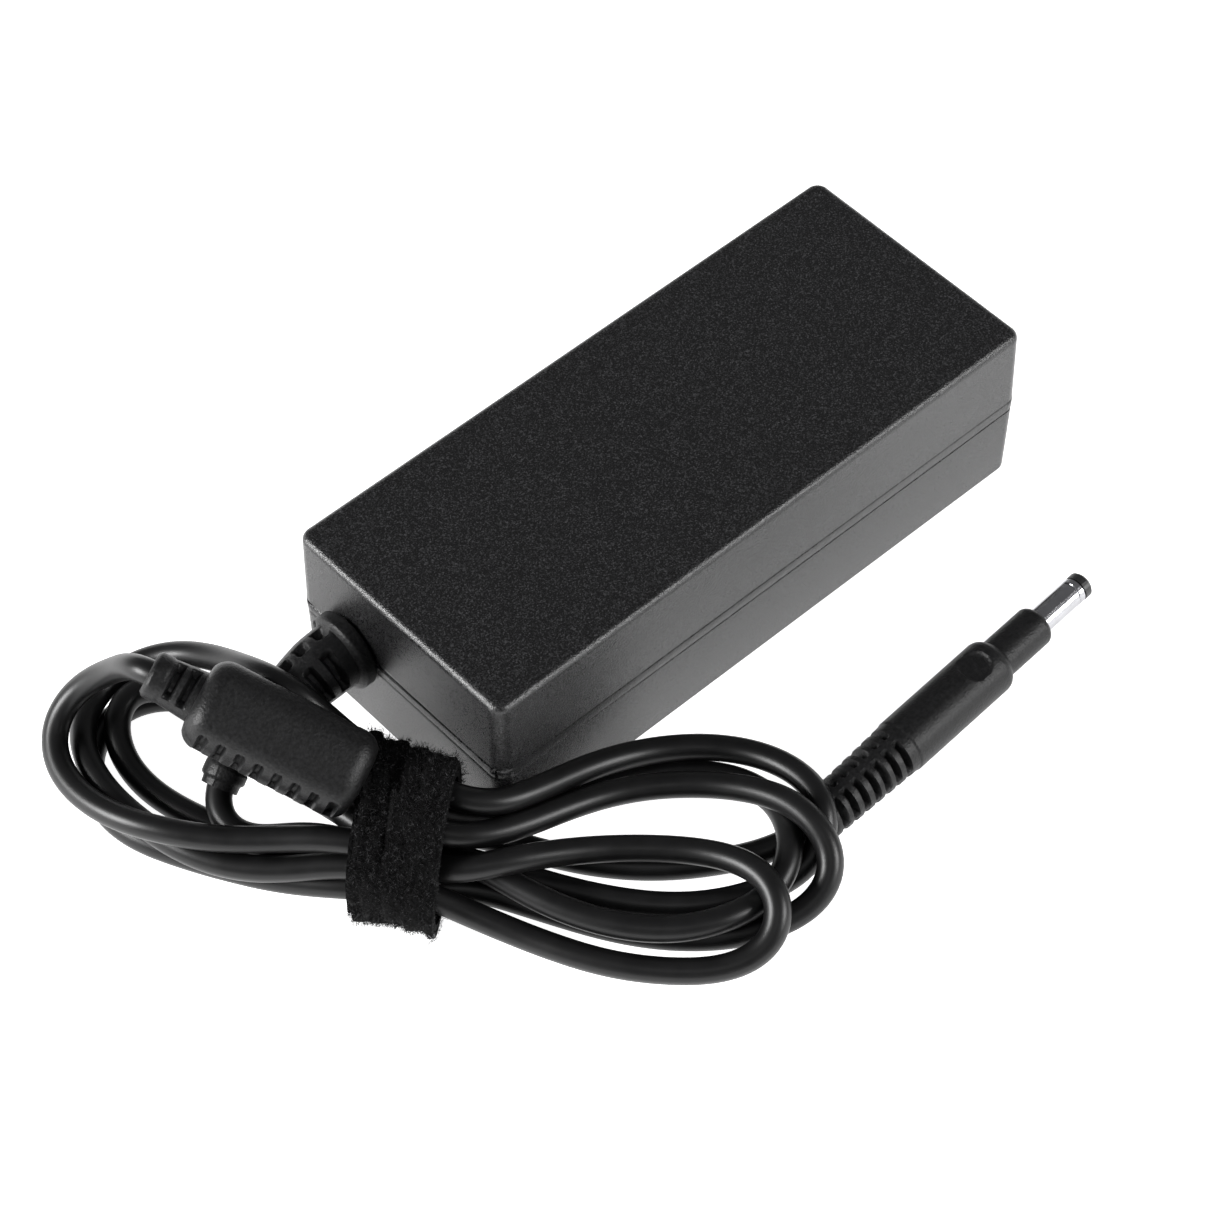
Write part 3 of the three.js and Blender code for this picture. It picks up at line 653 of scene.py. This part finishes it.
RELIEF_SLOTS = 7
RELIEF_FIRST_SLOT = 9.9
RELIEF_PITCH = 3.0
RELIEF_SLOT_DEPTH = 1.5
relief_body = profile(
    (0, 3.9), (4.2, 3.9), (4.3, 6.2), (4.7, 6.6), (6.6, 6.6), (7.0, 6.2), (7.05, 5.45),
    (11, 5.35), (31.2, 3.3), (31.4, 3.5), (33.2, 3.5), (33.6, 3.0), (40, 2.7),
)


def relief_radius(s, angle):
    """The relief's taper with long slots on two sides, and small square holes between them."""
    cut = 0
    for k in range(RELIEF_SLOTS):
        place = RELIEF_FIRST_SLOT + RELIEF_PITCH * k
        for middle in (-58, 122):
            long_slot = window(turned(angle, middle), 0, 40 - 2 * k, 7)
            cut = np.maximum(cut, window(s, place, 0.62, 0.4) * long_slot)
        for middle in (22, -158):
            hole = window(turned(angle, middle), 0, 11, 5)
            cut = np.maximum(cut, window(s, place - RELIEF_PITCH / 2, 0.75, 0.4) * hole)
    mould_seam = 0.08 * window(turned(angle, 0), 0, 1.2, 2) * (s > 7.2)
    flange_notch = 0.9 * window(turned(angle, 62), 0, 5, 3) * window(s, 5.6, 1.4, 0.3)
    return relief_body(s) - RELIEF_SLOT_DEPTH * cut + mould_seam - flange_notch


relief = swept("relief_moulding", RELIEF_ROUTE, relief_radius)
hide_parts("cord_strain_relief")

# ---- ferrite housing -----------------------------------------------------------------------------

FERRITE_FACE = -20  # the angle that the block's broad face looks towards
FERRITE_SQUARENESS = 2.7  # 2 is round, and a larger number is squarer
END_ROUNDING = 3.2
GROOVES = 8
GROOVE_PITCH = 3.1
UPPER_NOTCHES = ((19.5, 1.1), (15.5, 0.8), (5.5, 0.9))  # the run and the half width of each
sleeve_body = profile((0, 4.1), (5.4, 3.6), (5.5, 3.75), (7.4, 3.75), (8.0, 3.1))


def ferrite_radius(s, angle):
    """A rounded block with grooves along its lower edge, then a slotted sleeve."""
    turn = np.radians(angle - FERRITE_FACE)
    power = FERRITE_SQUARENESS
    corner = (np.abs(np.cos(turn)) ** power + np.abs(np.sin(turn)) ** power) ** (1 / power)
    block = FERRITE_WIDTH / 2 / corner
    first_end = np.clip(1 - s / END_ROUNDING, 0, 1)
    second_end = np.clip(1 - (FERRITE_LENGTH - s) / END_ROUNDING, 0, 1)
    inset = np.minimum(first_end + second_end, 1)
    block = block * (0.6 + 0.4 * np.sqrt(np.clip(1 - inset**2, 0, 1)))
    lower_edge = window(turned(angle, FERRITE_FACE - 84), 0, 32, 5)
    for k in range(GROOVES):
        block = block - 1.2 * window(s, 2.6 + GROOVE_PITCH * k, 0.55, 0.5) * lower_edge
    upper_edge = window(turned(angle, 54), 0, 9, 6)
    for place, half_width in UPPER_NOTCHES:
        block = block - 0.6 * window(s, place, half_width, 0.5) * upper_edge
    past = s - FERRITE_LENGTH
    sleeve = sleeve_body(past)
    sleeve_face = window(turned(angle, FERRITE_FACE), 0, 50, 8)
    for place in (1.6, 4.0):
        sleeve = sleeve - 1.3 * window(past, place, 0.55, 0.4) * sleeve_face
    return np.where(past < 0, np.maximum(block, 4.2 * (s > FERRITE_LENGTH / 2)), sleeve)


ferrite = swept(
    "ferrite_moulding",
    [
        FERRITE_STRAP_END,
        FERRITE_SLEEVE_END,
        FERRITE_SLEEVE_END + SLEEVE_LENGTH * FERRITE_AXIS,
    ],
    ferrite_radius,
    around=160,
    step=0.25,
)
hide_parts("ferrite_housing")

# ---- plug ----------------------------------------------------------------------------------------

RELIEF_END = PLUG_RELIEF_LENGTH
BODY_END = RELIEF_END + PLUG_BODY_LENGTH
NECK_END = BODY_END + PLUG_NECK_LENGTH
PLUG_SLOTS = 7
PLUG_SLOT_DEPTH = 1.5
DIMPLE_RADIUS = 2.8
DIMPLE_DEPTH = 0.8
DIMPLE_FROM_END = 5.4
BODY_RADIUS = 4.65
plug_body = profile(
    (0, 3.3), (0.5, 3.9), (RELIEF_END - 0.2, 4.5), (RELIEF_END, BODY_RADIUS),
    (BODY_END - 1.6, BODY_RADIUS), (BODY_END - 0.9, 4.5), (BODY_END - 0.3, 4.1),
    (BODY_END + 0.1, 3.55), (BODY_END + 0.3, 3.45), (NECK_END - 0.8, 3.45),
    (NECK_END - 0.3, 3.25), (NECK_END, 2.9),
)


def plug_radius(s, angle):
    """The plug's turned outline with slots in its relief and a thumb dimple on top."""
    cut = 0
    for k in range(PLUG_SLOTS):
        place = 2.2 + 2.35 * k
        for middle in (48, -48, 134, -134):
            slot = window(turned(angle, middle), 0, 37, 6)
            cut = np.maximum(cut, window(s, place, 0.5, 0.3) * slot)
    ahead = (s - BODY_END + DIMPLE_FROM_END) / DIMPLE_RADIUS
    beside = np.radians(turned(angle, 0)) * BODY_RADIUS / DIMPLE_RADIUS
    dimple = np.clip(1 - ahead**2 - beside**2, 0, 1)
    return plug_body(s) - PLUG_SLOT_DEPTH * cut - DIMPLE_DEPTH * dimple**0.4


plug_route = [plug_point(PLUG_TAIL), plug_point(0), plug_point(PLUG_NECK_LENGTH)]
plug = swept("plug_moulding", plug_route, plug_radius, step=0.2)
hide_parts("plug_body")

# ---- strap ---------------------------------------------------------------------------------------

STRAP_TURNS = 2.06
STRAP_LAYER = 1.15  # from one turn to the next
STRAP_WEB = 0.95  # the fabric's own thickness
STRAP_COLUMNS = 19  # points across the strap
ROUND_POINTS = 132  # points in one turn
PRESS_REACH = 2.6  # strands this near along the hank press on the strap
FLUFF = 18000
HOOKS = 420
FIBRE_WIDTH = 0.07
draws = np.random.default_rng(5)


def hank_places(line):
    """Each point of the lead as (along, across, height) in the hank's own directions."""
    flat = line[:, :2] - np.array(STRAP_MIDDLE)
    return np.stack([flat @ HANK_AXIS, flat @ HANK_SIDE, line[:, 2]], 1)


def band_outline(places, along):
    """The tight closed outline round the strands at one place along the hank, as (across, height), with
    the outward direction at each point and the outline's length."""
    middles = places[np.abs(places[:, 0] - along) < PRESS_REACH][:, 1:]
    turn = np.radians(np.arange(0, 360, 3) - 90)
    normal = np.stack([np.cos(turn), np.sin(turn)], 1)
    touch = middles[np.argmax(middles @ normal.T, 0)]
    outline = touch + CORD / 2 * normal
    closed = np.vstack([outline, outline[:1]])
    run = np.r_[0, np.cumsum(np.linalg.norm(np.diff(closed, axis=0), axis=1))]
    places_round = np.linspace(0, run[-1], ROUND_POINTS, endpoint=False)
    even = np.stack([np.interp(places_round, run, closed[:, k]) for k in (0, 1)], 1)
    tangent = np.roll(even, -1, 0) - np.roll(even, 1, 0)
    tangent /= np.linalg.norm(tangent, axis=1)[:, None]
    return even, np.stack([tangent[:, 1], -tangent[:, 0]], 1), run[-1]


def strap_slant(across, share):
    """How far the strap leans along the hank. Its edge by the ferrite reaches out on the far side."""
    lean = -0.8 - 0.07 * (10 - across)
    return lean - 2.2 * np.clip((across - 3) / 8, 0, 1) * (1 - share) / 2


def strap_points(places):
    """The strap's inner and outer points, as (face, step round, column, xyz), and its flat length."""
    steps = int(ROUND_POINTS * STRAP_TURNS)
    points = np.zeros((2, steps, STRAP_COLUMNS, 3))
    length = 0
    for column, share in enumerate(np.linspace(-1, 1, STRAP_COLUMNS)):
        outline, outward, girth = band_outline(places, share * (STRAP_HALF - 1.5))
        length += girth / STRAP_COLUMNS
        for i in range(steps):
            turns = i / ROUND_POINTS
            along = share * STRAP_HALF + 0.9 * (turns - 1) * (1 - share) / 2
            lift = 0.15 + STRAP_LAYER * turns
            ripple = 0.08 * np.sin(0.37 * i + 1.3 * column) + 0.06 * np.sin(0.83 * i - 2.1 * column)
            for face, rise in enumerate((lift, lift + STRAP_WEB + ripple)):
                place = outline[i % ROUND_POINTS] + rise * outward[i % ROUND_POINTS]
                slant = strap_slant(place[0], share)
                points[face, i, column] = across_hank(along + slant, place[0], max(place[1], 0.25))
    return points, (length + 2 * np.pi * STRAP_LAYER) * STRAP_TURNS


def ribbon_faces(steps, columns):
    """The faces of a ribbon with two sheets of points, closed along its edges and ends."""
    faces = []
    size = steps * columns
    for i in range(steps - 1):
        for j in range(columns - 1):
            a, b = i * columns + j, (i + 1) * columns + j
            faces.append((a, a + 1, b + 1, b))
            faces.append((size + a, size + b, size + b + 1, size + a + 1))
        for j in (0, columns - 1):
            a, b = i * columns + j, (i + 1) * columns + j
            faces.append((a, b, size + b, size + a))
    for i in (0, steps - 1):
        for j in range(columns - 1):
            a = i * columns + j
            faces.append((a, size + a, size + a + 1, a + 1))
    return faces


def fibre_mesh(name, roots, directions, lengths, material):
    """Many short curled fibres as one mesh of thin three-step strips."""
    points, faces = [], []
    for root, way, long in zip(roots, directions, lengths):
        across = np.cross(way, draws.normal(size=3))
        across /= np.linalg.norm(across)
        curl = np.cross(way, across) * draws.uniform(-0.7, 0.7) * long
        start = len(points)
        for share in (0, 0.4, 0.75, 1):
            middle = root + way * long * share + curl * share**2
            middle[2] = max(middle[2], 0.2)
            points += [middle - across * FIBRE_WIDTH / 2, middle + across * FIBRE_WIDTH / 2]
        for k in range(3):
            a = start + 2 * k
            faces.append((a, a + 1, a + 3, a + 2))
    return make_object(name, points, faces, material)


def outward_normals(sheet):
    """The direction away from the strap's middle at each point of its outer turn."""
    normal = np.cross(np.gradient(sheet, axis=0), np.gradient(sheet, axis=1))
    normal /= np.linalg.norm(normal, axis=2)[..., None] + 1e-9
    middle = sheet.mean((0, 1))
    return normal * np.sign(((sheet - middle) * normal).sum(2))[..., None]


def make_fluff(sheet):
    """The pile on the strap's outer turn, which leans together in tufts."""
    rows = draws.integers(0, sheet.shape[0], FLUFF)
    columns = draws.integers(0, sheet.shape[1], FLUFF)
    roots = sheet[rows, columns] + draws.normal(size=(FLUFF, 3)) * 0.3
    wide_tufts = np.sin(roots @ draws.normal(size=(3, 3)) * 2.7)
    fine_tufts = np.sin(roots @ draws.normal(size=(3, 3)) * 5.3)
    ways = outward_normals(sheet)[rows, columns] * 0.6 + draws.normal(size=(FLUFF, 3)) * 0.4
    ways += (wide_tufts + fine_tufts) * 0.2
    ways /= np.linalg.norm(ways, axis=1)[:, None]
    return fibre_mesh("strap_fluff", roots, ways, draws.uniform(0.3, 0.7, FLUFF), FIBRES)


def make_hooks(sheet):
    """The pale hooks that stick out of the strap's low edges."""
    rim = sheet[:, [0, -1]].reshape(-1, 3)
    low = rim[rim[:, 2] < 5]
    roots = low[draws.integers(0, len(low), HOOKS)] + draws.normal(size=(HOOKS, 3)) * 0.25
    ways = draws.normal(size=(HOOKS, 3))
    ways[:, 2] = np.abs(ways[:, 2]) * 0.4
    ways /= np.linalg.norm(ways, axis=1)[:, None]
    return fibre_mesh("strap_hooks", roots, ways, draws.uniform(0.4, 1.0, HOOKS), PALE_FIBRES)


def make_strap(line):
    """The strap round the settled lead, its fibres, and its flat length."""
    points, length = strap_points(hank_places(line))
    faces = ribbon_faces(points.shape[1], STRAP_COLUMNS)
    fabric = MATERIALS["strap_fabric"]
    strap = make_object("strap_wrap", points.reshape(-1, 3), faces, fabric)
    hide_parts("tie_strap")
    outer_turn = points[1, -150:]
    return strap, [make_fluff(outer_turn), make_hooks(outer_turn)], length


# ---- case and the other CAD parts ----------------------------------------------------------------


# The bottom shell's top edges, and how far they go down in its cover so that the parting shows.
PARTING_HEIGHTS = (15.15, 17.25)
PARTING_DROP = 0.18


def smooth_cover(node, name, slot, angle=32, lowered=()):
    """A smooth copy of a CAD node in its own place, which stands for the node. Its flat faces stay flat
    next to the rounded edges, and its edges at the lowered heights go down a little."""
    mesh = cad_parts[node].data.copy()
    for vertex in mesh.vertices:
        if any(abs(vertex.co.z / MM - height) < 0.01 for height in lowered):
            vertex.co.z -= PARTING_DROP * MM
    finish_mesh(mesh, angle, weld=1e-6)
    mesh.materials.clear()
    mesh.materials.append(MATERIALS[slot])
    cover = bpy.data.objects.new(name, mesh)
    bpy.context.scene.collection.objects.link(cover)
    weighted = cover.modifiers.new("weighted normals", "WEIGHTED_NORMAL")
    weighted.keep_sharp = True
    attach(cover, "root")
    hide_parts(node)
    return cover


def paint_cad_nodes():
    """Every CAD node takes the material made for its slot."""
    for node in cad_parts.values():
        names = [m.name.split(".")[0] for m in node.data.materials if m]
        if names and names[0] in MATERIALS:
            node.data.materials[0] = MATERIALS[names[0]]


paint_cad_nodes()
smooth_cover("top_shell", "case_top", "case_plastic")
smooth_cover("bottom_shell", "case_bottom", "case_plastic", lowered=PARTING_HEIGHTS)
barrel = smooth_cover("plug_barrel", "plug_sleeve", "chrome", 20)
insulator = smooth_cover("plug_insulator", "plug_tip", "black_plastic", 20)

# ---- cord and strap -------------------------------------------------------------------------------

route = route_line()
cord = make_cord(route)
strap, strap_parts, strap_length = make_strap(route)

# ---- floor and light -----------------------------------------------------------------------------


FLOOR_HALF = 3.0
TABLE_GLOW = 1.0
HORIZON = (0.35, 0.35, 0.355, 1)
OVERHEAD = (0.19, 0.19, 0.195, 1)
OVERHEAD_FROM = 0.6  # the height at which the room reaches its overhead colour
LAMP_SIZE = 0.5


def make_floor():
    """A pale table that glows evenly, so the object has no dark shadow on it."""
    half = FLOOR_HALF
    mesh = bpy.data.meshes.new("floor")
    corners = [(-half, -half, 0), (half, -half, 0), (half, half, 0), (-half, half, 0)]
    mesh.from_pydata(corners, [], [(0, 1, 2, 3)])
    lit_table = surface(
        "lit_table", low=(0.88,) * 3, high=(0.9,) * 3, grain=20, rough=0.7, swing=0.02,
        Emission_Strength=TABLE_GLOW, Emission_Color=(1, 1, 1, 1),
    )
    mesh.materials.append(lit_table)
    floor = bpy.data.objects.new("floor", mesh)
    bpy.context.scene.collection.objects.link(floor)


def make_softbox(name, place, power):
    """A square lamp at a place in metres, facing the object."""
    data = bpy.data.lights.new(name, "AREA")
    data.size = LAMP_SIZE
    data.energy = power
    lamp = bpy.data.objects.new(name, data)
    lamp.location = place
    lamp.rotation_euler = (-Vector(place)).to_track_quat("-Z", "Y").to_euler()
    bpy.context.scene.collection.objects.link(lamp)


def make_world():
    """A dim room, a little brighter near the horizon than overhead."""
    world = bpy.data.worlds.new("room")
    bpy.context.scene.world = world
    world.use_nodes = True
    tree = world.node_tree
    place = tree.nodes.new("ShaderNodeTexCoord")
    split = tree.nodes.new("ShaderNodeSeparateXYZ")
    link(tree, place, "Generated", split, "Vector")
    ramp = tree.nodes.new("ShaderNodeValToRGB")
    horizon, overhead = ramp.color_ramp.elements
    horizon.position = 0.0
    horizon.color = HORIZON
    overhead.position = OVERHEAD_FROM
    overhead.color = OVERHEAD
    link(tree, split, "Z", ramp, "Fac")
    background = tree.nodes["Background"]
    link(tree, ramp, "Color", background, "Color")
    background.inputs["Strength"].default_value = 1.0


make_floor()
make_world()
make_softbox("left_softbox", (-1.05, 0.5, 0.5), 27)
make_softbox("right_softbox", (0.52, -1.0, 0.58), 13)
make_softbox("front_softbox", (-0.55, -0.65, 1.2), 0.8)
bpy.context.scene.view_settings.view_transform = "Standard"
